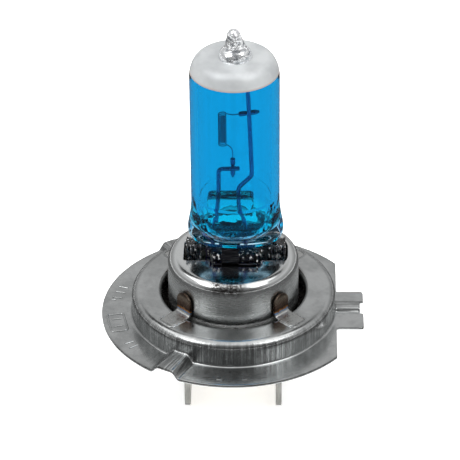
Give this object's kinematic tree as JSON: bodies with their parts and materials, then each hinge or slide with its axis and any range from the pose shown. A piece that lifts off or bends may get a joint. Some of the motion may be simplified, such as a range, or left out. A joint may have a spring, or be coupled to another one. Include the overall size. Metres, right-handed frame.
{
  "type": "headlight bulb",
  "caption": "Single-filament halogen headlight capsule with blue-coated glass, silvered dome, prefocus flange ring and a pair of push-on contact blades.",
  "frame": {"origin": "on the cap's axis, at the glass-side face of the flange, which is the plane that the filament's height is set from", "axes": "+Z along the lamp axis towards the exhaust tip, +X out through the middle of the keying tab, +Y completes a right-handed frame"},
  "size_m": [0.0336, 0.0338, 0.0542],
  "materials": {
    "drawn_steel": "drawn stainless sheet with fine tool marks",
    "polished_steel": "polished top and shoulder, satin wall",
    "steatite": "dry-pressed unglazed ceramic",
    "blade_metal": "bright nickel-plated strip",
    "spring_steel": "dark heat-tinted spring steel",
    "quartz": "clear fused quartz, blue coat on the tube, matte silver coat on the dome",
    "tungsten": "drawn tungsten wire",
    "molybdenum": "drawn molybdenum"
  },
  "bodies": {
    "root": {"prefocus_ring": "drawn_steel", "cap_shell": "polished_steel", "insulator_plug": "steatite", "contact_blade_left": "blade_metal", "contact_blade_right": "blade_metal", "seal_clip_front": "spring_steel", "seal_clip_rear": "spring_steel", "quartz_capsule": "quartz", "filament": "tungsten", "filament_sleeve_upper": "molybdenum", "filament_sleeve_lower": "molybdenum", "support_post_long": "molybdenum", "support_post_short": "molybdenum", "seal_foil_left": "molybdenum", "seal_foil_right": "molybdenum", "outer_lead_left": "blade_metal", "outer_lead_right": "blade_metal"}
  },
  "joints": []
}
